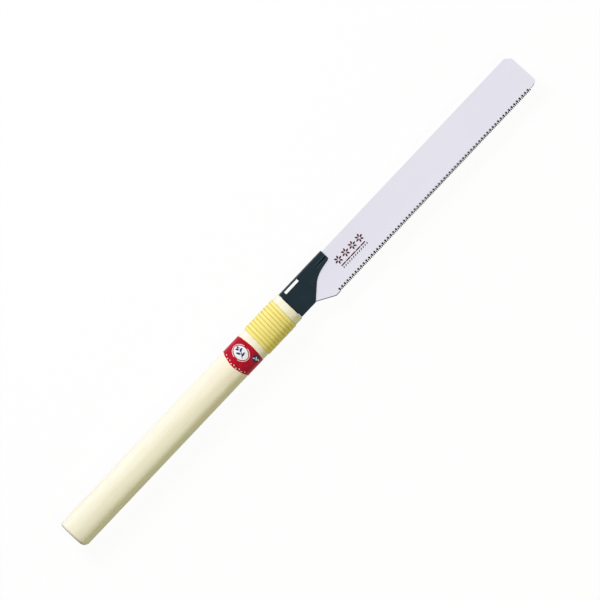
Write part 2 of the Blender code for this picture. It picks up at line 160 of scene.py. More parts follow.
class Oval:
    """The handle's section: four arcs that meet in line, wide above and below and round at the sides.

    The sides' radius follows from the bar's width and thickness and the crown's radius.
    """

    def __init__(self, look):
        half_width = look.width / 2
        self.top = look.thickness / 2
        self.crown = look.crown
        drop = self.crown - self.top
        self.side = (self.crown ** 2 - half_width ** 2 - drop ** 2) / (2 * (self.crown - half_width))
        self.join = math.atan2(half_width - self.side, drop)
        self.lap = 4 * self.crown * self.join + 2 * self.side * (math.pi - 2 * self.join)

    def wrap(self, around):
        """Arc length from the top centre, brought to half a lap either way."""
        return (around + self.lap / 2) % self.lap - self.lap / 2

    def at(self, around, lift):
        """Y and Z at an arc length from the top centre and a height above the surface.

        The way round turns along half of the upper crown, then round the side, then along half of the lower
        crown; a negative one goes the other way. The height is laid off square to the surface.
        """
        wrapped = self.wrap(around)
        reach = np.abs(wrapped)
        past_crown = reach - self.crown * self.join
        side_turn = math.pi - 2 * self.join
        past_side = past_crown - self.side * side_turn
        first = np.clip(reach / self.crown, 0.0, self.join)
        second = self.join + np.clip(past_crown / self.side, 0.0, side_turn)
        last = math.pi - self.join + np.clip(past_side / self.crown, 0.0, self.join)
        turn = first + second + last - math.pi
        y = self.crown * (np.sin(first) + np.sin(last) - math.sin(self.join))
        y = y + self.side * (np.sin(second) - math.sin(self.join))
        z = self.top - self.crown * (1 - np.cos(first) - math.cos(self.join) - np.cos(last))
        z = z - self.side * (math.cos(self.join) - np.cos(second))
        y = np.sign(wrapped) * (y + lift * np.sin(turn))
        return MIDDLE.y + y, MIDDLE.z + z + lift * np.cos(turn)

    def points(self, x, around, lift):
        """Array of points from places along the saw, arc lengths round the oval and heights above it."""
        return points(x, *self.at(around, lift))


def waves(rows, along):
    """Sum of sines of a way along, each with its height, rate and phase."""
    return sum(height * np.sin(rate * along + phase) for height, rate, phase in rows)


def grid_faces(rows, columns):
    """Corner numbers of the quads of a grid whose columns close on themselves."""
    number = np.arange(rows * columns).reshape(rows, columns)
    beside = np.roll(number, -1, axis=1)
    return np.stack([number[:-1], beside[:-1], beside[1:], number[1:]], axis=-1).reshape(-1, 4)


def closed_skins(tubes, maps=None):
    """Mesh of closed tubes from an array of tubes, rows, points round each row and X, Y, Z.

    Each tube is a grid of quads with a flat cap on its first and last row. The maps hold a U and V for each
    point.
    """
    count, rows, columns = tubes.shape[:3]
    starts = np.arange(count) * rows * columns
    quads = (starts[:, None, None] + grid_faces(rows, columns)[None]).reshape(-1, 4)
    first = starts[:, None] + np.arange(columns)[::-1]
    last = starts[:, None] + (rows - 1) * columns + np.arange(columns)
    faces = quads.tolist() + first.tolist() + last.tolist()
    mesh = bpy.data.meshes.new("surface")
    mesh.from_pydata(tubes.reshape(-1, 3).tolist(), [], faces)
    if maps is not None:
        corners = np.empty(len(mesh.loops), np.int32)
        mesh.loops.foreach_get("vertex_index", corners)
        layer = mesh.uv_layers.new(name="surface")
        layer.data.foreach_set("uv", np.asarray(maps, np.float32).reshape(-1, 2)[corners].ravel())
    return mesh


def film_rows(low, high):
    """Rows of a thin film between two sheets: across the upper sheet, then back across the lower one."""
    return np.concatenate([high, np.flip(low, axis=-2)], axis=-2)


def fill_mesh(mesh, shape, smooth_angle):
    """Write a worked shape into a mesh and shade it smooth up to an angle in degrees."""
    shape.to_mesh(mesh)
    shape.free()
    mesh.shade_smooth()
    mesh.set_sharp_from_angle(angle=math.radians(smooth_angle))
    return mesh


def tidy_skins(groups, smooth_angle, maps=None):
    """One mesh from groups of closed tubes, which may differ in their numbers of points.

    Doubled points are merged, collapsed faces are dropped and the faces are turned outwards.
    """
    shape = bmesh.new()
    for tubes in groups:
        part = closed_skins(tubes, maps)
        shape.from_mesh(part)
        bpy.data.meshes.remove(part)
    bmesh.ops.remove_doubles(shape, verts=shape.verts, dist=SAME_POINT)
    bmesh.ops.dissolve_degenerate(shape, edges=shape.edges, dist=NO_LENGTH)
    bmesh.ops.recalc_face_normals(shape, faces=shape.faces)
    return fill_mesh(bpy.data.meshes.new("surface"), shape, smooth_angle)


def merged_copy(node, smooth_angle):
    """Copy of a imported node's mesh with its loose triangles joined and its flat faces made whole."""
    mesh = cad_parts[node].data.copy()
    shape = bmesh.new()
    shape.from_mesh(mesh)
    bmesh.ops.remove_doubles(shape, verts=shape.verts, dist=CAD_SAME_POINT)
    bmesh.ops.dissolve_limit(shape, angle_limit=CAD_FLAT, verts=shape.verts, edges=shape.edges)
    return fill_mesh(mesh, shape, smooth_angle)


def shape_toe(plate, look):
    """Bow the toe's lower edge out and lean the plate's end.

    The toe is first cut across at even steps. Its lower edge then drops by a half sine of the way along it.
    Points over the toe's corner move back by their height over it times the tangent of the lean, and less so
    with the distance from the end.
    """
    start = BLADE_HIGH.x - look.toe_edge
    shape = bmesh.new()
    shape.from_mesh(plate)
    for cut in np.linspace(start, start + look.toe_span, TOE_CUTS)[1:-1]:
        everything = shape.verts[:] + shape.edges[:] + shape.faces[:]
        bmesh.ops.bisect_plane(shape, geom=everything, plane_co=(cut, 0.0, 0.0), plane_no=(1.0, 0.0, 0.0))
    shape.to_mesh(plate)
    shape.free()
    places = np.empty((len(plate.vertices), 3), dtype=np.float32)
    plate.vertices.foreach_get("co", places.ravel())
    run = np.clip((places[:, 0] - start) / look.toe_span, 0.0, 1.0)
    below = places[:, 1] < MIDDLE.y
    places[:, 1] -= below * look.toe_swell * np.sin(math.pi * run)
    height = np.maximum(places[:, 1] - BLADE_LOW.y - look.toe_corner, 0.0)
    share = np.clip((places[:, 0] - BLADE_HIGH.x + look.lean_start) / look.lean_span, 0.0, 1.0)
    places[:, 0] -= share * height * math.tan(look.end_lean)
    plate.vertices.foreach_set("co", places.ravel())
    plate.update()


def put_object(name, data):
    """New object in the scene, at the origin."""
    made = bpy.data.objects.new(name, data)
    bpy.context.scene.collection.objects.link(made)
    return made


def add_piece(name, mesh, material, body, stands_for=()):
    """Put a mesh in the scene as a piece that rides on a body of the part."""
    mesh.name = name
    mesh.materials.clear()
    mesh.materials.append(material)
    piece = put_object(name, mesh)
    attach(piece, body)
    if stands_for:
        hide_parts(*stands_for)
    return piece


def soften_edges(piece, width):
    """Round the sharp edges of a piece with a narrow bevel."""
    bevel = piece.modifiers.new("soft_edges", "BEVEL")
    bevel.width = width
    bevel.segments = 2
    bevel.limit_method = "ANGLE"
    bevel.angle_limit = SHARP_EDGE
    bevel.harden_normals = True


def strokes(start_a, start_b, turn, length, width, bend=0.0, belly=0.8, rows=15, columns=5):
    """Flat strokes of ink as points (stroke, row, column) of a plane with the axes a and b.

    A stroke's centre line starts at its place and runs off at its turn, bending at an even rate. Its half
    width is a sine of the way along, raised to the belly: 1 makes a leaf, a small value makes a bar with
    short ends. Each value is one number for all the strokes or one for each.
    """
    values = np.broadcast_arrays(np.atleast_1d(start_a), start_b, turn, length, width, bend, belly)
    start_a, start_b, turn, length, width, bend, belly = (value[:, None] for value in values)
    along = np.linspace(0.0, 1.0, rows)
    across = np.linspace(-1.0, 1.0, columns)
    heading = turn + bend * (along - 0.5)
    step_a = np.cos(heading) * length / (rows - 1)
    step_b = np.sin(heading) * length / (rows - 1)
    half = width / 2 * np.clip(np.sin(math.pi * along), INK_TIP, None) ** belly
    middle_a = start_a + np.cumsum(step_a, axis=1) - step_a
    middle_b = start_b + np.cumsum(step_b, axis=1) - step_b
    a = middle_a[..., None] - (np.sin(heading) * half)[..., None] * across
    b = middle_b[..., None] + (np.cos(heading) * half)[..., None] * across
    return a, b


def oval_arcs(centre, half_a, half_b, starts, ends, width, rows=49, columns=3):
    """Bands of ink along an oval as points (band, row, column) of a plane.

    A band runs from its start angle to its end angle in degrees, and its half width is laid off along the
    oval's own spread, so both rims are ovals too.
    """
    turn = np.linspace(np.radians(starts), np.radians(ends), rows).T[..., None]
    grow = np.linspace(-width / 2, width / 2, columns)
    a = centre[0] + (half_a + grow) * np.cos(turn)
    b = centre[1] + (half_b + grow) * np.sin(turn)
    return a, b


# Finishes


class Value:
    """An output in a node tree; a sum written with it adds a Math node."""

    def __init__(self, nodes, socket):
        self.nodes = nodes
        self.socket = socket

    def __add__(self, other):
        return self.nodes.maths("ADD", self, other)

    def __sub__(self, other):
        return self.nodes.maths("SUBTRACT", self, other)

    def __rsub__(self, other):
        return self.nodes.maths("SUBTRACT", other, self)

    def __mul__(self, other):
        return self.nodes.maths("MULTIPLY", self, other)

    def __truediv__(self, other):
        return self.nodes.maths("DIVIDE", self, other)

    def __abs__(self):
        return self.nodes.maths("ABSOLUTE", self)


class Nodes:
    """A node tree being made, with a method for each kind of node that the finishes use."""

    def __init__(self, owner):
        owner.use_nodes = True
        self.tree = owner.node_tree

    def feed(self, socket, value):
        """Link another node's output to a socket, or set a plain value on it."""
        if isinstance(value, Value):
            self.tree.links.new(value.socket, socket)
        elif socket.type == "RGBA":
            socket.default_value = (*value, 1.0)
        else:
            socket.default_value = value

    def node(self, kind, inputs, **settings):
        """New node with its settings and inputs."""
        made = self.tree.nodes.new(kind)
        for key, value in settings.items():
            setattr(made, key, value)
        for key, value in inputs.items():
            self.feed(made.inputs[key], value)
        return made

    def output(self, kind, inputs, which=0, **settings):
        """One output of a new node."""
        return Value(self, self.node(kind, inputs, **settings).outputs[which])

    def place(self, which="Object"):
        """Coordinates of the piece: Object, UV or Normal."""
        return self.output("ShaderNodeTexCoord", {}, which)

    def split(self, vector):
        """The three numbers of a vector."""
        return [Value(self, socket) for socket in self.node("ShaderNodeSeparateXYZ", {0: vector}).outputs]

    def noise(self, vector, scale, detail=2.0, roughness=0.5):
        """Soft noise from 0 to 1, with one scale or a scale for each axis."""
        if isinstance(scale, tuple):
            vector = self.output("ShaderNodeMapping", {"Vector": vector, "Scale": scale})
            scale = 1.0
        inputs = {"Vector": vector, "Scale": scale, "Detail": detail, "Roughness": roughness}
        return self.output("ShaderNodeTexNoise", inputs, "Fac")

    def maths(self, operation, first, second=0.0):
        """One sum on two numbers."""
        return self.output("ShaderNodeMath", {0: first, 1: second}, operation=operation)

    def fade(self, value, low, high, to_low=0.0, to_high=1.0):
        """Smooth step of a number from one range to another."""
        inputs = {"Value": value, "From Min": low, "From Max": high, "To Min": to_low, "To Max": to_high}
        return self.output("ShaderNodeMapRange", inputs, "Result", interpolation_type="SMOOTHSTEP")

    def fall(self, value, low, high):
        """Smooth step of a number from 1 down to 0."""
        return self.fade(value, low, high, 1.0, 0.0)

    def blend(self, amount, first, second):
        """Colour between two colours."""
        return self.output("ShaderNodeMix", {0: amount, 6: first, 7: second}, 2, data_type="RGBA")

    def lay(self, ground, colour, value, low, high, share=1.0):
        """A colour laid over a ground as a number rises from low to high, up to a share of full cover."""
        return self.blend(self.fade(value, low, high, 0.0, share), ground, colour)

    def seen_rays(self):
        """1 for rays from the camera, from gloss and through glass, and 0 for the rest."""
        path = self.node("ShaderNodeLightPath", {}).outputs
        kinds = ("Is Camera Ray", "Is Glossy Ray", "Is Transmission Ray")
        camera, gloss, glass = (Value(self, path[kind]) for kind in kinds)
        return self.maths("MAXIMUM", self.maths("MAXIMUM", camera, gloss), glass)

    def mix_shaders(self, amount, first, second):
        """Shader between two shaders."""
        return self.output("ShaderNodeMixShader", {0: amount, 1: first, 2: second})


class Finish(Nodes):
    """A material being made, with its Principled shader."""

    def __init__(self, name):
        self.material = bpy.data.materials.new(name)
        super().__init__(self.material)
        self.shader = self.tree.nodes["Principled BSDF"]

    def give(self, **values):
        """Link outputs to the shader's own sockets, or set plain values on them."""
        for key, value in values.items():
            self.feed(self.shader.inputs[key.replace("_", " ")], value)

    def wear(self, colour, pattern, roughness, depth):
        """Give the shader its colour, and a roughness and a relief that follow a pattern."""
        relief = self.output("ShaderNodeBump", {"Height": pattern, "Distance": depth, "Strength": 1.0})
        rough = self.fade(pattern, NOISE_LOW, NOISE_HIGH, *roughness)
        self.give(Base_Color=colour, Roughness=rough, Normal=relief)


def wood_finish(look):
    """Pale wood: faint rings round a far pith, long fibres, blushed patches and darker end grain."""
    finish = Finish("pale_wood")
    place = finish.place()
    _, y, z = finish.split(place)
    out_y = y - PITH_Y
    out_z = z - PITH_Z
    drift = finish.noise(place, (5.0, 30.0, 30.0))
    from_pith = finish.maths("SQRT", out_y * out_y + out_z * out_z) + drift * RING_DRIFT
    ring = finish.maths("SINE", from_pith * (2 * math.pi / look.ring_spacing))
    patch = finish.noise(place, (7.0, 95.0, 95.0), detail=3.0)
    fibre = finish.noise(place, (55.0, 1900.0, 1900.0), detail=4.0, roughness=0.6)
    pore = finish.noise(place, (260.0, 4200.0, 4200.0), detail=1.0)
    grain = finish.lay(look.wood, look.blush, patch, 0.38, 0.66)
    grain = finish.lay(grain, look.ring, ring, 0.0, 1.0, share=0.36)
    grain = finish.lay(grain, look.fibre, fibre, 0.48, 0.80, share=0.50)
    grain = finish.lay(grain, look.fibre, pore, 0.66, 0.80, share=0.45)
    cell = finish.noise(place, 4600.0)
    end = finish.lay(look.end_grain, look.end_ring, ring, -0.2, 1.0, share=0.75)
    end = finish.lay(end, look.end_ring, cell, 0.52, 0.74, share=0.55)
    facing = abs(finish.split(finish.place("Normal"))[0])
    grain = finish.lay(grain, end, facing, 0.78, 0.97)
    finish.wear(grain, fibre, roughness=(0.52, 0.64), depth=0.00006)
    finish.give(Specular_IOR_Level=0.25)
    return finish.material


def cane_finish(look):
    """Yellow cane: fibres, a tone that wanders from turn to turn, and painted shade towards its edges."""
    finish = Finish("yellow_cane")
    strip = finish.place("UV")
    side = abs(finish.split(strip)[1] - 0.5)
    fibre = finish.noise(strip, (45.0, 17.0, 1.0), detail=3.0, roughness=0.6)
    tone = finish.noise(strip, (11.0, 0.6, 1.0))
    fleck = finish.noise(strip, (420.0, 9.0, 1.0))
    skin = finish.lay(look.cane, look.straw, tone, 0.35, 0.65)
    skin = finish.lay(skin, look.fibre, fibre, 0.46, 0.75, share=0.36)
    skin = finish.lay(skin, look.fibre, fleck, 0.62, 0.80, share=0.28)
    # Painted shade: the strip turns browner, then dark, towards both edges, so the grooves between turns
    # look shaded
    skin = finish.lay(skin, look.ochre_groove_shade, side, 0.16, 0.44, share=0.60)
    skin = finish.lay(skin, look.edge, side, 0.36, 0.50, share=0.95)
    finish.wear(skin, fibre, roughness=(0.36, 0.50), depth=0.00008)
    finish.give(Specular_IOR_Level=0.15)
    return finish.material


def paper_finish(look):
    """Printed paper: red ink over short fibres, rubbed pale along its cut edges."""
    finish = Finish("red_paper")
    place = finish.place()
    side = abs(finish.split(finish.place("UV"))[1] - 0.5)
    pulp = finish.noise(place, 1500.0, detail=3.0)
    cloud = finish.noise(place, 160.0)
    ink = finish.lay(look.paper, look.deep_red, cloud, NOISE_LOW, NOISE_HIGH)
    ink = finish.lay(ink, look.rubbed, pulp, 0.60, 0.85, share=0.25)
    ink = finish.lay(ink, look.rubbed, side + pulp * 0.012, 0.497, 0.506, share=0.8)
    finish.wear(ink, pulp, roughness=(0.34, 0.46), depth=0.00002)
    finish.give(Specular_IOR_Level=0.22)
    return finish.material


def ink_finish(name, colour, worn_colour):
    """Printing ink: one colour with thin spots where the ground shows a little."""
    finish = Finish(name)
    place = finish.place()
    speck = finish.noise(place, 2600.0, detail=3.0)
    cloud = finish.noise(place, 420.0)
    thin = finish.fade(speck, 0.45, 0.75) * finish.fade(cloud, 0.35, 0.75)
    finish.wear(finish.blend(thin, colour, worn_colour), speck, roughness=(0.40, 0.55), depth=0.000008)
    finish.give(Specular_IOR_Level=0.3)
    return finish.material


def coating_finish(look):
    """Black coating: slate tone and fine texture, with painted shade in the crease and painted highlights.
    """
    finish = Finish("black_coating")
    place = finish.place()
    x, y, _ = finish.split(place)
    peel = finish.noise(place, 1700.0, detail=3.0, roughness=0.6)
    cloud = finish.noise(place, 90.0, detail=3.0)
    paint = finish.lay(look.coating, look.slate, cloud, NOISE_LOW, NOISE_HIGH)
    paint = finish.lay(paint, look.speck, peel, 0.58, 0.80, share=0.4)

    # Painted shade and highlight: the pressed crease is painted near black as its shade, its rims lighter as
    # highlight
    crease_rear = HOLDER_HIGH.x - look.crease_length
    along = finish.fade(x, crease_rear, HOLDER_HIGH.x)
    in_length = finish.fade(x, crease_rear, crease_rear + CREASE_RUN_IN)
    off = abs(y - (HOLDER_HIGH.y - look.crease_to_spine)) - along * CREASE_SPREAD
    rim_highlight = finish.fade(off, 0.0003, 0.0006) * finish.fall(off, 0.0009, 0.0022)
    paint = finish.blend(rim_highlight * in_length, paint, look.rim_highlight)
    paint = finish.blend(in_length * finish.fall(off, 0.00015, 0.00045), paint, look.crease)

    # Painted highlight: a lighter band along the rounded fold at the spine, broken up by a noise
    fold = finish.fade(y, *(HOLDER_HIGH.y - depth for depth in FOLD_HIGHLIGHT))
    highlight_break = finish.noise(place, (160.0, 900.0, 900.0), detail=3.0)
    paint = finish.blend(fold * finish.fade(highlight_break, 0.30, 0.60, 0.45, 1.0), paint, look.rubbed)
    finish.wear(paint, peel, roughness=(0.38, 0.50), depth=0.000012)
    finish.give(Specular_IOR_Level=0.12)
    return finish.material


def blade_finish(look):
    """Satin steel: polished along its length, with hardened teeth and painted shade along its cut edges.

    The teeth lean to alternate faces, so a cosine of half their phase, turned round on the other face, tells
    the black ones from the ground ones. A dark line of painted shade follows the sloping heel, the plain
    edge behind the teeth and the bowed edge of the toe.
    """
    finish = Finish("blade_steel")
    place = finish.place()
    x, y, z = finish.split(place)
    polish = finish.noise(place, (45.0, 5200.0, 5200.0), detail=4.0, roughness=0.65)
    cloud = finish.noise(place, (9.0, 28.0, 28.0))
    steel = finish.lay(look.steel, look.haze, cloud, NOISE_LOW, NOISE_HIGH)
    steel = finish.lay(steel, look.polish_line, polish, 0.50, 0.80, share=0.34)

    teeth_end = BLADE_HIGH.x - look.toe_length
    teeth_start = teeth_end - look.tooth_count * look.tooth_pitch
    phase = (x - teeth_start) * (2 * math.pi / look.tooth_pitch) - 2 * math.pi * TOOTH_POINT
    face = finish.maths("SIGN", z - MIDDLE.z)
    black = finish.fade(finish.maths("COSINE", phase * 0.5) * face, -0.30, 0.30)
    start = look.ground_reach - black * (look.ground_reach + look.black_reach)
    reach = (BLADE_LOW.y + look.tooth_depth - y) - start
    toothed = (finish.fade(x, teeth_start - 0.0004, teeth_start + 0.0001)
               * finish.fall(x, teeth_end - 0.0003, teeth_end + 0.0001))
    steel = finish.blend(toothed * finish.fade(reach, -0.00025, 0.00045), steel, look.dark_tooth)

    # Painted shade: a dark line along the heel's slope, the plain edge behind the teeth and the toe's lower
    # edge
    up = y - BLADE_LOW.y
    from_heel = x - (HOLDER_REAR + look.heel_start)
    slant = from_heel * math.sin(look.heel_slope) + up * math.cos(look.heel_slope)
    slant_line = finish.fall(slant, 0.0004, 0.0010)
    heel_line = finish.fall(x, teeth_start - 0.0004, teeth_start) * finish.fall(up, 0.0004, 0.0010)
    toe_run = (x - (BLADE_HIGH.x - look.toe_edge)) / look.toe_span
    toe_low = toe_run * look.toe_rise - finish.maths("SINE", toe_run * math.pi) * look.toe_swell
    in_toe = finish.fade(toe_run, -0.02, 0.03) * finish.fall(toe_run, 0.66, 0.97)
    toe_line = in_toe * finish.fall(up - look.toe_step - toe_low, 0.0002, 0.0006)
    line = finish.maths("MAXIMUM", finish.maths("MAXIMUM", slant_line, heel_line), toe_line)
    steel = finish.blend(line, steel, look.cut_edge_shade)
    finish.wear(steel, polish, roughness=(0.34, 0.44), depth=0.000004)
    finish.give(Metallic=1.0)
    return finish.material


def pin_finish(look):
    """Plain steel wire: drawn lines along the pin and a light haze."""
    finish = Finish("pin_steel")
    place = finish.place()
    drawn = finish.noise(place, (4000.0, 4000.0, 120.0), detail=3.0)
    haze = finish.noise(place, 700.0)
    steel = finish.lay(look.steel, look.haze, haze, 0.35, 0.7)
    finish.wear(steel, drawn, roughness=(0.32, 0.46), depth=0.00001)
    finish.give(Metallic=1.0)
    return finish.material


# Sizes and colours


def size(name, description, default):
    """A length that the sidebar shows in the scene's units."""
    return FloatProperty(name=name, description=description, default=default, unit="LENGTH",
                         subtype="DISTANCE")


def angle(name, description, degrees):
    """An angle that the sidebar shows in degrees."""
    return FloatProperty(name=name, description=description, default=math.radians(degrees), subtype="ANGLE")


def power(name, description, default):
    """A lamp's power in watts."""
    return FloatProperty(name=name, description=description, default=default, unit="POWER")


def tint(name, where, default):
    """A linear colour with a swatch in the sidebar, and where it is seen."""
    return FloatVectorProperty(name=name, description=f"Colour of {where}", default=default, subtype="COLOR",
                               size=3, min=0.0, max=1.0)


class HandleLook(bpy.types.PropertyGroup):
    """Wooden handle."""
    width: size("Width", "Width of the bar", HANDLE_HIGH.y - HANDLE_LOW.y - 2 * WOOD_TRIM)
    thickness: size("Thickness", "Thickness of the bar", HANDLE_HIGH.z - HANDLE_LOW.z - 2 * WOOD_TRIM)
    crown: size("Crown", "Radius of the crowned upper and lower sides", 0.025)
    butt_round: size("Butt round", "Rounding of the butt's edge", 0.0025)
    butt_belly_round: size("Butt belly round", "Rounding of the butt's edge on the teeth's side", 0.0055)
    front_round: size("Front round", "Rounding of the front edge", 0.0006)
    recess_depth: size("Recess depth", "Depth of the binding's recess", 0.0004)
    recess_gap: size("Recess gap", "Room between the recess's walls and the cane", 0.00010)
    recess_step: FloatProperty(name="Recess step", default=0.02, min=0.001, max=0.5, subtype="FACTOR",
                               description="Share of a turn in which the recess's walls step back")
    slot_width: size("Slot width", "Width of the slot for the holder's legs", 0.0196)
    slot_height: size("Slot height", "Height of the slot for the holder's legs", 0.0038)
    slot_depth: size("Slot depth", "Depth to which the slot is seen", 0.009)
    ring_spacing: size("Ring spacing", "Distance between the wood's rings", 0.0026)
    wood: tint("Wood", "the wood's ground", (0.975, 0.930, 0.760))
    blush: tint("Blush", "the warmer patches", (0.970, 0.880, 0.720))
    ring: tint("Rings", "the late wood", (0.935, 0.830, 0.600))
    fibre: tint("Fibres", "fibres and pores", (0.850, 0.725, 0.480))
    end_grain: tint("End grain", "the cut ends", (0.74, 0.63, 0.43))
    end_ring: tint("End rings", "rings and pores on the cut ends", (0.56, 0.43, 0.255))


class BindingLook(bpy.types.PropertyGroup):
    """Cane binding."""
    turns: IntProperty(name="Turns", description="Turns of the strip", default=10, min=1)
    start: size("Start", "Where the middle of the strip starts along the saw", BINDING_LOW.x + 0.0010)
    pitch: size("Pitch", "Distance from turn to turn", 0.00343)
    width: size("Strip width", "Width of the strip", 0.00338)
    thickness: size("Strip thickness", "Thickness of the strip at its middle", 0.00090)
    edge_height: size("Edge height", "Thickness of the strip at its edges", 0.00042)
    seat: size("Seat", "Height of the strip's underside over the wood's outer surface", -0.0001)
    tail_rise: size("Tail rise", "How far the tucked tail lifts the turns over it", 0.00007)
    tail_width: size("Tail width", "Half width of the tucked tail's ridge", 0.0009)
    tail_place: size("Tail place", "Where the tail lies, round the handle from its top centre", -0.0012)
    cane: tint("Cane", "its ground", (0.970, 0.805, 0.235))
    straw: tint("Straw", "its paler turns", (0.970, 0.850, 0.320))
    fibre: tint("Fibres", "its fibres", (0.840, 0.600, 0.095))
    # Painted shade of the grooves between turns: the ochre towards the strip's edges and the dark edges
    ochre_groove_shade: tint("Ochre", "the strip towards its edges", (0.78, 0.56, 0.045))
    edge: tint("Edges", "its edges", (0.42, 0.27, 0.02))


class LabelLook(bpy.types.PropertyGroup):
    """Paper label and its print."""
    shield_rear: size("Rear bow", "How far the rear edge bows out", 0.0038)
    shield_front: size("Front bow", "How far the front edge bows out", 0.0017)
    shield_half: size("Half bow", "Half of the bows' width round the handle", 0.0165)
    lift: size("Lift", "Height of the paper's underside over the wood", 0.00005)
    thickness: size("Thickness", "Thickness of the paper", 0.00018)
    seam: size("Seam", "Where the outer end lies, round the handle from its top centre", 0.0135)
    lap: size("Lap", "How far one end lies over the other", 0.003)
    panel_shift: size("Panel shift", "Middle of the panel, forward of the label's own middle", 0.0005)
    panel_round: size("Panel round", "Middle of the panel, round the handle from its top centre", 0.0031)
    panel_length: size("Panel length", "Length of the white panel along the handle", 0.0112)
    panel_width: size("Panel width", "Width of the white panel round the handle", 0.0146)
    ink_step: size("Ink step", "Height of each layer of ink over the one before", 0.000014)
    paper: tint("Paper", "the red print", (0.52, 0.006, 0.026))
    deep_red: tint("Deep red", "the fuller ink", (0.38, 0.003, 0.016))
    rubbed: tint("Rubbed", "the rubbed ink", (0.78, 0.22, 0.25))
    white: tint("White ink", "the panel, ring, dashes and sprig", (0.88, 0.88, 0.92))
    thin_white: tint("Thin white", "the white ink where it is thin", (0.84, 0.70, 0.74))
    navy: tint("Navy ink", "the leaves and the roundel", (0.012, 0.016, 0.09))
    thin_navy: tint("Thin navy", "the navy ink where it is thin", (0.03, 0.04, 0.16))


class HolderLook(bpy.types.PropertyGroup):
    """Folded holder and its rivet."""
    edge_round: size("Edge round", "Rounding of the sheet's edges", 0.00012)
    rivet_head: size("Rivet head", "Radius of the flush head", 0.00293)
    crease_to_spine: size("Crease", "Distance of the crease from the spine", 0.0067)
    crease_length: size("Crease length", "Length of the crease from the nose", 0.0138)
    coating: tint("Coating", "its ground", (0.0118, 0.0235, 0.0325))
    slate: tint("Slate", "its lighter clouds", (0.0150, 0.0280, 0.0375))
    speck: tint("Specks", "its fine specks", (0.028, 0.042, 0.052))
    # Painted highlight on the crease's rims
    rim_highlight: tint("Crease rims", "the rubbed rims of the crease", (0.026, 0.044, 0.048))
    # Painted highlight along the fold
    rubbed: tint("Rubbed fold", "the rubbed fold", (0.085, 0.105, 0.110))
    # Painted shade in the crease
    crease: tint("Crease colour", "the pressed crease", (0.0004, 0.0010, 0.0014))


class BladeLook(bpy.types.PropertyGroup):
    """Toothed blade and its print."""
    edge_round: size("Edge round", "Rounding of the plate's edges", 0.00004)
    plate_thickness: size("Thickness", "Thickness of the plate", 0.0006)
    tooth_count: IntProperty(name="Teeth", description="Number of teeth", default=142, min=1)
    tooth_pitch: size("Tooth pitch", "Distance from tooth to tooth", 0.00169)
    tooth_depth: size("Tooth depth", "Depth of the teeth", 0.0023)
    toe_length: size("Toe length", "Length of the plain toe", 0.0085)
    toe_edge: size("Toe edge", "Distance from the tip to the start of the toe's lower edge", 0.0080)
    toe_span: size("Toe span", "Length of the toe's lower edge", 0.0067)
    toe_step: size("Toe step", "Height of that edge's start over the tooth points", 0.0013)
    toe_rise: size("Toe rise", "Rise of the toe's lower edge", 0.00134)
    toe_swell: size("Toe swell", "How far the toe's lower edge bows out", 0.00045)
    toe_corner: size("Toe corner", "Height of the toe's corner over the tooth points", 0.0047)
    end_lean: angle("End lean", "Lean of the plate's end", 1.6)
    lean_start: size("Lean start", "Distance from the tip at which the lean starts", 0.020)
    lean_span: size("Lean span", "Length over which the lean grows to its full size", 0.015)
    heel_start: size("Heel start", "Distance of the heel's corner from the holder's rear", 0.034)
    heel_slope: angle("Heel slope", "Slope of the heel", 30.0)
    print_x: size("Print X", "Middle of the print along the blade", 0.0637)
    print_y: size("Print Y", "Middle of the print across the blade", -0.0012)
    black_reach: size("Black reach", "How far the black goes above a hardened tooth's gullet", 0.0010)
    ground_reach: size("Ground reach", "How far below its gullet a ground tooth turns black", 0.0004)
    steel: tint("Steel", "its ground", (0.765, 0.755, 0.835))
    haze: tint("Haze", "its slow clouds", (0.785, 0.775, 0.850))
    polish_line: tint("Polish lines", "its polishing lines", (0.68, 0.67, 0.75))
    dark_tooth: tint("Hardened teeth", "the hardened teeth", (0.004, 0.004, 0.005))
    # Painted shade along the heel's and toe's edges
    cut_edge_shade: tint("Sheared edges", "the heel's and toe's edges", (0.06, 0.06, 0.07))
    ink: tint("Print", "the print", (0.060, 0.006, 0.016))
    thin_ink: tint("Thin print", "the print where it is thin", (0.20, 0.035, 0.070))


class PinLook(bpy.types.PropertyGroup):
    """Cross pins."""
    steel: tint("Steel", "the wire", (0.55, 0.55, 0.56))
    haze: tint("Haze", "its haze", (0.42, 0.42, 0.43))


class StageLook(bpy.types.PropertyGroup):
    """Floor, light and camera."""
    centre_x: size("Centre X", "Point in the middle of the picture, along the saw", 0.00253)
    centre_y: size("Centre Y", "Point in the middle of the picture, across the saw", 0.00106)
    picture_width: size("Picture width", "Width of the picture at the blade", 0.51876)
    turn: angle("Turn", "Turn of the camera about Z", -46.566)
    lens: FloatProperty(name="Lens", description="Focal length in millimetres", default=400.0, unit="CAMERA")
    lamp_size: size("Lamp size", "Side of each square lamp", 0.7)
    key_power: power("Key power", "Power of the key light", 31.9)
    key_tilt: angle("Key tilt", "Lean of the key light from overhead to the spine's side", 54.0)
    key_colour: tint("Key", "the key light", (0.89, 0.91, 1.0))
    fill_power: power("Fill power", "Power of the fill light", 11.7)
    fill_tilt: angle("Fill tilt", "Lean of the fill light from overhead to the spine's side", -34.0)
    fill_colour: tint("Fill", "the fill light", (0.98, 1.0, 0.68))
    floor_colour: tint("Floor", "the floor in the picture", (0.95, 0.95, 0.93))
    bounce_colour: tint("Bounce", "the floor in what it throws back", (0.30, 0.30, 0.26))
    ambient: FloatProperty(name="Ambient", description="Strength of the light from all round", default=0.03)
    ambient_colour: tint("Ambient colour", "the light from all round", (0.90, 1.0, 0.55))


# Pieces


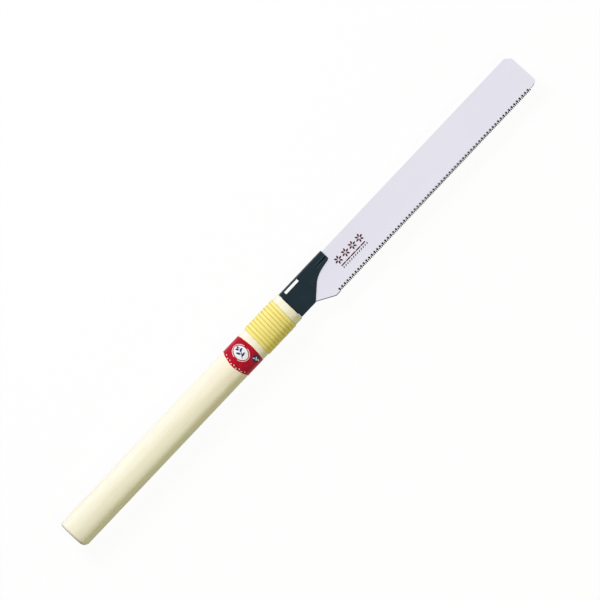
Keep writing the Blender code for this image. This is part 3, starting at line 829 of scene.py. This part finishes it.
class SAW_OT_handle(bpy.types.Operator):
    """Build the oval wooden handle"""
    bl_idname = "saw.handle"
    bl_label = "Handle"

    def execute(self, context):
        """Sections of the oval carried from the butt to the front, then down into the slot for the holder.

        The butt's edge is a quarter round, whose radius grows with a power of the reach to the teeth's side.
        The recess's walls follow the first and the last turn of the cane and step back by a turn where the
        strip starts and ends.
        """
        look = context.scene.saw_handle
        cane = context.scene.saw_binding
        oval = Oval(look)
        share = np.linspace(0.0, 1.0, HANDLE_COLUMNS, endpoint=False)
        around = oval.lap * (0.5 - share)

        wound = (1 - share) % 1
        reach = cane.width / 2 + look.recess_gap
        first_turn = np.minimum(wound, (1 - wound) / look.recess_step)
        last_turn = cane.turns - 1 + np.maximum(wound, 1 - wound / look.recess_step)
        rear_wall = cane.start + cane.pitch * first_turn - reach
        front_wall = cane.start + cane.pitch * last_turn + reach
        lip_down = np.append(LIP_DOWN, look.recess_depth)[:, None]

        belly = np.clip((MIDDLE.y - oval.at(around, 0.0)[0]) / (look.width / 2), 0.0, 1.0)
        butt_round = look.butt_round + (look.butt_belly_round - look.butt_round) * belly ** BELLY_POWER
        butt = np.linspace(0.0, math.pi / 2, BUTT_ROWS)[:, None]
        front = np.linspace(0.0, math.pi / 2, FRONT_ROWS)[:, None]
        body_start = HANDLE_LOW.x + look.butt_belly_round
        body_x = np.linspace(body_start, BINDING_LOW.x - RECESS_CLEAR, BODY_ROWS)[1:, None]
        stretches = (
            (HANDLE_LOW.x + butt_round * (1 - np.cos(butt)), butt_round * (1 - np.sin(butt))),
            (body_x, 0.0),
            (rear_wall - LIP_OUT, lip_down),
            (front_wall + LIP_OUT[::-1], lip_down[::-1]),
            (HANDLE_HIGH.x - look.front_round * (1 - np.sin(front)), look.front_round * (1 - np.cos(front))),
        )
        bar = np.concatenate([oval.points(x, around, -depth) for x, depth in stretches])

        middle = np.array([MIDDLE.y, MIDDLE.z])
        slot = np.array([look.slot_width, look.slot_height]) / 2
        mouth = bar[-1:].copy()
        mouth[..., 1:] = middle + np.clip(mouth[..., 1:] - middle, -slot, slot)
        floor = mouth - np.array([look.slot_depth, 0.0, 0.0])
        mesh = tidy_skins([np.concatenate([bar, mouth, floor])[None]], smooth_angle=38.0)
        add_piece("handle_wood", mesh, wood_finish(look), "handle_body", ["handle"])
        return {"FINISHED"}


class SAW_OT_binding(bpy.types.Operator):
    """Wind the cane strip round the front of the handle"""
    bl_idname = "saw.binding"
    bl_label = "Cane binding"

    def execute(self, context):
        """Crowned section of the strip carried along a helix on the oval.

        The crown is the root of a sine across the strip. The turns are raised by a bell-shaped ridge where
        they pass over the tucked tail, waver a little, and thin out towards both ends.
        """
        look = context.scene.saw_binding
        oval = Oval(context.scene.saw_handle)
        steps = look.turns * STEPS_A_TURN + 3
        turn = np.linspace(-STRIP_OVERRUN, look.turns + STRIP_OVERRUN, steps)[:, None]
        around = oval.lap * turn - oval.lap / 2
        middle_x = look.start + look.pitch * turn + waves(STRIP_WANDER, turn)

        sweep = np.linspace(0.0, math.pi, STRIP_COLUMNS)
        half = look.width / 2
        crown = look.edge_height + (look.thickness - look.edge_height) * np.sin(sweep) ** 0.5
        side = np.concatenate([half * np.cos(sweep), [FOOT_INSET - half, half - FOOT_INSET]])
        height = np.concatenate([crown, [0.0, 0.0]])
        across = np.concatenate([np.linspace(0.0, 1.0, STRIP_COLUMNS), FOOT_ACROSS])

        from_tail = (oval.wrap(around) - look.tail_place) / look.tail_width
        on_tail = np.clip((middle_x - BINDING_LOW.x - TAIL_START) / TAIL_GROWTH, 0.0, 1.0)
        ridge = look.tail_rise * np.exp(-from_tail ** 2) * on_tail
        from_end = np.minimum(turn + TAPER_START, look.turns + TAPER_START - turn)
        ends = np.clip(from_end / TAPER_LENGTH, TAPER_LEAST, 1.0)
        lift = look.seat + height * (1 + (ridge + waves(STRIP_SWELL, turn)) / look.thickness) * ends
        strip = oval.points(middle_x + side, around, lift)
        maps = np.stack(np.broadcast_arrays(turn * oval.lap, across), axis=-1)
        mesh = tidy_skins([strip[None]], smooth_angle=50.0, maps=maps)
        add_piece("cane_strip", mesh, cane_finish(look), "handle_body", ["cane_binding"])
        return {"FINISHED"}


class SAW_OT_label(bpy.types.Operator):
    """Lay the printed paper label round the handle"""
    bl_idname = "saw.label"
    bl_label = "Paper label"

    def execute(self, context):
        """A strip of paper round the oval, then white and navy inks in layers on it."""
        look = context.scene.saw_label
        oval = Oval(context.scene.saw_handle)
        rear = LABEL_LOW.x + look.shield_rear
        front = LABEL_HIGH.x - look.shield_front
        self.lay_paper(look, oval, rear, front)

        panel_x = (rear + front) / 2 + look.panel_shift
        panel_b = look.panel_round
        half_x = look.panel_length / 2
        half_b = look.panel_width / 2
        panel = strokes(panel_x, panel_b - half_b, math.pi / 2, length=2 * half_b, width=2 * half_x,
                        belly=0.5, rows=61, columns=17)
        ring_gap = 0.0010
        ring = oval_arcs((panel_x, panel_b), half_x + ring_gap, half_b + ring_gap, starts=[12.0, 192.0],
                         ends=[168.0, 348.0], width=0.00045)
        dash_inset, dash_back = 0.0015, 0.0006
        dash_b = np.linspace(-0.0112, 0.0112, 9)
        dash_x = rear - look.shield_rear * self.bow(look, oval, dash_b) + dash_inset
        lean = np.where(np.arange(len(dash_b)) % 2, 1.0, -1.0) * math.radians(38.0)
        dashes = strokes(dash_x, dash_b - dash_back, math.pi / 2 + lean, length=0.0016, width=0.0007,
                         belly=0.7)
        roundel_back = 0.0036
        roundel_x = front - roundel_back
        roundel = strokes(roundel_x, -0.0064, -math.pi / 2, length=0.0074, width=0.0066, belly=0.35, rows=41,
                          columns=13)
        sprig = strokes(roundel_x + np.array([-0.0016, 0.0012, -0.0012, 0.0008]),
                        np.array([-0.0072, -0.0086, -0.0100, -0.0114]),
                        np.radians([-62.0, -118.0, -56.0, -108.0]), length=0.0030, width=0.0010,
                        bend=np.radians([14.0, -14.0, 14.0, -14.0]))
        stem = strokes(panel_x - 0.0030, panel_b - 0.0046, math.radians(58.0), length=0.0106, width=0.0006,
                       bend=0.35, belly=0.3, rows=25)
        leaves = strokes(panel_x + np.array([-0.0022, -0.0010, 0.0, 0.0008, 0.0014]),
                         panel_b + np.array([-0.0030, -0.0010, 0.0010, 0.0028, 0.0042]),
                         np.radians([8.0, 118.0, 14.0, 124.0, 74.0]),
                         length=np.array([0.0050, 0.0046, 0.0042, 0.0036, 0.0022]), width=0.0018,
                         bend=np.radians([-24.0, 24.0, -24.0, 24.0, -18.0]))
        white = ink_finish("white_ink", look.white, look.thin_white)
        navy = ink_finish("navy_ink", look.navy, look.thin_navy)
        white_layers = {1: panel, 2: ring, 3: dashes, 4: sprig}
        navy_layers = {1: roundel, 3: stem, 4: leaves}
        for name, layers, ink in (("label_white", white_layers, white), ("label_navy", navy_layers, navy)):
            films = [self.ink_film(look, oval, layer, *shape) for layer, shape in layers.items()]
            add_piece(name, tidy_skins(films, smooth_angle=40.0), ink, "handle_body")
        return {"FINISHED"}

    def underside(self, look, oval, around):
        """Height of the paper's underside, which is raised where it lies over its own inner end."""
        way = (look.seam - around) % oval.lap
        return look.lift + LAP_RISE * look.thickness * np.clip(1 - (way - look.lap) / LAP_RAMP, 0.0, 1.0)

    def bow(self, look, oval, around):
        """Share of an edge's bow: one less a power of the way from the top centre, and 0 beyond."""
        return np.clip(1 - np.abs(oval.wrap(around) / look.shield_half) ** BOW_POWER, 0.0, None)

    def lay_paper(self, look, oval, rear, front):
        """Strip of paper from its seam once round the oval and under its own outer end.

        Both edges bow out over the top and waver a little.
        """
        way = np.linspace(0.0, oval.lap + look.lap, LABEL_ROWS)[:, None]
        around = look.seam - way
        bow = self.bow(look, oval, around)
        first = rear - look.shield_rear * bow + waves(REAR_WANDER, way)
        last = front + look.shield_front * bow + waves(FRONT_WANDER, way)
        share = np.linspace(0.0, 1.0, LABEL_COLUMNS)
        x = first + (last - first) * share
        under = np.where(way < oval.lap, self.underside(look, oval, around), look.lift)
        sheets = [oval.points(x, around, height) for height in (under, under + look.thickness)]
        maps = np.stack(np.broadcast_arrays(way, np.concatenate([share, share[::-1]])), axis=-1)
        mesh = tidy_skins([film_rows(*sheets)[None]], smooth_angle=40.0, maps=maps)
        add_piece("label_paper", mesh, paper_finish(look), "handle_body", ["paper_label"])

    def ink_film(self, look, oval, layer, x, around):
        """Film of ink over the paper, as high as its layer's number says."""
        face = self.underside(look, oval, around) + look.thickness
        heights = (layer * look.ink_step, (layer + INK_SHARE) * look.ink_step)
        return film_rows(*(oval.points(x, around, face + height) for height in heights))


class SAW_OT_holder(bpy.types.Operator):
    """Coat the folded holder and its rivet"""
    bl_idname = "saw.holder"
    bl_label = "Blade holder"

    def execute(self, context):
        """Joined copy of the folded sheet with softened edges, and a turned rivet.

        The rivet's profile is spun round its axis: a shallow dome that drops with the square of the radius,
        the shank, and the same dome below.
        """
        look = context.scene.saw_holder
        coating = coating_finish(look)
        sheet = merged_copy("blade_holder", smooth_angle=30.0)
        piece = add_piece("holder_sheet", sheet, coating, "handle_body", ["blade_holder"])
        soften_edges(piece, look.edge_round)

        centre = (RIVET_LOW + RIVET_HIGH) / 2
        half = (RIVET_HIGH.z - RIVET_LOW.z) / 2
        out = np.linspace(RIVET_HUB, 1.0, RIVET_ROWS)
        dome_r = look.rivet_head * out
        dome_z = half - RIVET_SINK - RIVET_DOME * out ** 2
        shank_z = half - RIVET_HEAD_DEPTH
        radii = np.concatenate([dome_r, [RIVET_SHANK, RIVET_SHANK], dome_r[::-1]])[:, None]
        heights = np.concatenate([dome_z, [shank_z, -shank_z], -dome_z[::-1]])[:, None]
        spin = np.linspace(0.0, 2 * math.pi, RIVET_COLUMNS, endpoint=False)
        rings = points(centre.x + radii * np.cos(spin), centre.y + radii * np.sin(spin), centre.z + heights)
        mesh = tidy_skins([rings[None]], smooth_angle=35.0)
        add_piece("holder_rivet", mesh, coating, "handle_body", ["hook_rivet"])
        return {"FINISHED"}


class SAW_OT_blade(bpy.types.Operator):
    """Finish the toothed blade and its print"""
    bl_idname = "saw.blade"
    bl_label = "Blade"

    def execute(self, context):
        """Joined copy of the toothed plate with a shaped toe and softened edges, and a print on it.

        The print is on the upper face: a row of rosettes of six petals over a line of bars and a row of
        ticks.
        """
        look = context.scene.saw_blade
        plate = merged_copy("blade", smooth_angle=20.0)
        shape_toe(plate, look)
        piece = add_piece("blade_plate", plate, blade_finish(look), "blade_body", ["blade"])
        soften_edges(piece, look.edge_round)

        rosette_a = np.linspace(-0.0130, 0.0130, 4)
        rosette_b = 0.0021
        hub = 0.0007
        petal_turn = np.radians(np.arange(12.0, 372.0, 60.0))
        turn = np.tile(petal_turn, len(rosette_a))
        petal_a = np.repeat(rosette_a, len(petal_turn)) + hub * np.cos(turn)
        petal_b = rosette_b + hub * np.sin(turn)
        petals = strokes(petal_a, petal_b, turn, length=0.0034, width=0.0017, bend=0.3)
        bars = strokes(np.linspace(-0.0152, 0.0088, 5), -0.0036, 0.0, length=0.0056, width=0.0012,
                       belly=0.12)
        ticks = strokes(np.linspace(-0.0148, 0.0140, 13), -0.0068, math.radians(58.0), length=0.0022,
                        width=0.0010, belly=0.6)
        face = MIDDLE.z + look.plate_thickness / 2
        films = []
        for a, b in (petals, bars, ticks):
            sheets = [points(look.print_x + a, look.print_y + b, face + height) for height in PRINT_HEIGHTS]
            films.append(film_rows(*sheets))
        ink = ink_finish("maroon_ink", look.ink, look.thin_ink)
        add_piece("blade_print", tidy_skins(films, smooth_angle=40.0), ink, "blade_body")
        return {"FINISHED"}


class SAW_OT_pins(bpy.types.Operator):
    """Finish the two cross pins"""
    bl_idname = "saw.pins"
    bl_label = "Cross pins"

    def execute(self, context):
        """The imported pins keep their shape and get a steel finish."""
        steel = pin_finish(context.scene.saw_pins)
        for name in ("tang_pin_front", "tang_pin_rear"):
            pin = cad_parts[name]
            pin.data.materials.clear()
            pin.data.materials.append(steel)
        return {"FINISHED"}


class SAW_OT_stage(bpy.types.Operator):
    """Set the floor, the light and the camera"""
    bl_idname = "saw.stage"
    bl_label = "Stage"

    def execute(self, context):
        """White floor and surround, two soft lamps and a camera straight above.

        A cool key light leans to the spine's side and a weaker warm fill light to the teeth's side.
        """
        look = context.scene.saw_stage
        scene = context.scene
        scene.view_settings.view_transform = "Standard"
        self.lay_floor(look)
        self.set_surround(scene, look)
        self.hang_lamp("key_light", look.lamp_size, look.key_power, look.key_tilt, look.key_colour)
        self.hang_lamp("fill_light", look.lamp_size, look.fill_power, look.fill_tilt, look.fill_colour)

        camera = bpy.data.cameras.new("camera")
        camera.lens = look.lens
        camera.sensor_width = SENSOR_WIDTH
        away = look.picture_width * look.lens / SENSOR_WIDTH
        camera.clip_end = CLIP_SHARE * away
        view = put_object("camera", camera)
        view.location = (look.centre_x, look.centre_y, MIDDLE.z + away)
        view.rotation_euler = (0.0, 0.0, look.turn)
        scene.camera = view
        return {"FINISHED"}

    def hang_lamp(self, name, side, watts, tilt, colour):
        """Square lamp that faces the saw, tilted from overhead to the spine's side, and unseen in gloss."""
        light = bpy.data.lights.new(name, "AREA")
        light.shape = "SQUARE"
        light.size = side
        light.energy = watts
        light.color = colour
        lamp = put_object(name, light)
        lamp.location = (0.0, LAMP_AWAY * math.sin(tilt), LAMP_AWAY * math.cos(tilt))
        lamp.rotation_euler = (-tilt, 0.0, 0.0)
        lamp.visible_glossy = False

    def lay_floor(self, look):
        """Wide floor: nearly white to the camera with the saw's shadow on it, and clear from below.

        It is greyer in the light that it throws back on the saw.
        """
        finish = Finish("floor_white")
        rays = finish.seen_rays()
        finish.give(Base_Color=finish.blend(rays, look.bounce_colour, look.floor_colour), Roughness=0.9,
                    Specular_IOR_Level=0.0)
        glow = finish.output("ShaderNodeEmission", {"Color": WHITE, "Strength": 1.0})
        lit = finish.mix_shaders(rays * FLOOR_GLOW, Value(finish, finish.shader.outputs[0]), glow)
        below = finish.output("ShaderNodeNewGeometry", {}, "Backfacing")
        both = finish.mix_shaders(below, lit, finish.output("ShaderNodeBsdfTransparent", {}))
        finish.feed(finish.tree.nodes["Material Output"].inputs["Surface"], both)
        corners = FLOOR_REACH * np.array([(-1, -1), (1, -1), (1, 1), (-1, 1)])
        mesh = bpy.data.meshes.new("floor")
        mesh.from_pydata([(x, y, FLOOR_LOW) for x, y in corners], [], [(0, 1, 2, 3)])
        mesh.materials.append(finish.material)
        put_object("floor", mesh)

    def set_surround(self, scene, look):
        """White all round to the camera and to gloss, and an even soft light on everything else."""
        scene.world = bpy.data.worlds.new("surround")
        nodes = Nodes(scene.world)
        soft = nodes.tree.nodes["Background"]
        nodes.feed(soft.inputs["Color"], look.ambient_colour)
        nodes.feed(soft.inputs["Strength"], look.ambient)
        white = nodes.output("ShaderNodeBackground", {"Color": WHITE})
        both = nodes.mix_shaders(nodes.seen_rays(), Value(nodes, soft.outputs[0]), white)
        nodes.feed(nodes.tree.nodes["World Output"].inputs["Surface"], both)


class SAW_PT_parts(bpy.types.Panel):
    """Lists the saw's pieces with their sizes and colours"""
    bl_idname = "SAW_PT_parts"
    bl_label = "Bamboo saw"
    bl_space_type = "VIEW_3D"
    bl_region_type = "UI"
    bl_category = "Saw"

    def draw(self, context):
        """One box for each operator, with its own values under it."""
        for group, _, operator in GROUPS:
            box = self.layout.box()
            box.operator(operator.bl_idname)
            values = getattr(context.scene, group)
            for key in values.__annotations__:
                box.prop(values, key)


GROUPS = (
    ("saw_handle", HandleLook, SAW_OT_handle),
    ("saw_binding", BindingLook, SAW_OT_binding),
    ("saw_label", LabelLook, SAW_OT_label),
    ("saw_holder", HolderLook, SAW_OT_holder),
    ("saw_blade", BladeLook, SAW_OT_blade),
    ("saw_pins", PinLook, SAW_OT_pins),
    ("saw_stage", StageLook, SAW_OT_stage),
)


def register():
    """Register the classes and hang their values on the scene."""
    for group, values, operator in GROUPS:
        bpy.utils.register_class(values)
        bpy.utils.register_class(operator)
        setattr(bpy.types.Scene, group, PointerProperty(type=values))
    bpy.utils.register_class(SAW_PT_parts)


def unregister():
    """Take everything back that register added."""
    bpy.utils.unregister_class(SAW_PT_parts)
    for group, values, operator in reversed(GROUPS):
        delattr(bpy.types.Scene, group)
        bpy.utils.unregister_class(operator)
        bpy.utils.unregister_class(values)


def main():
    """Build every piece and the stage."""
    register()
    bpy.ops.saw.handle()
    bpy.ops.saw.binding()
    bpy.ops.saw.label()
    bpy.ops.saw.holder()
    bpy.ops.saw.blade()
    bpy.ops.saw.pins()
    bpy.ops.saw.stage()


if __name__ == "__main__":
    main()
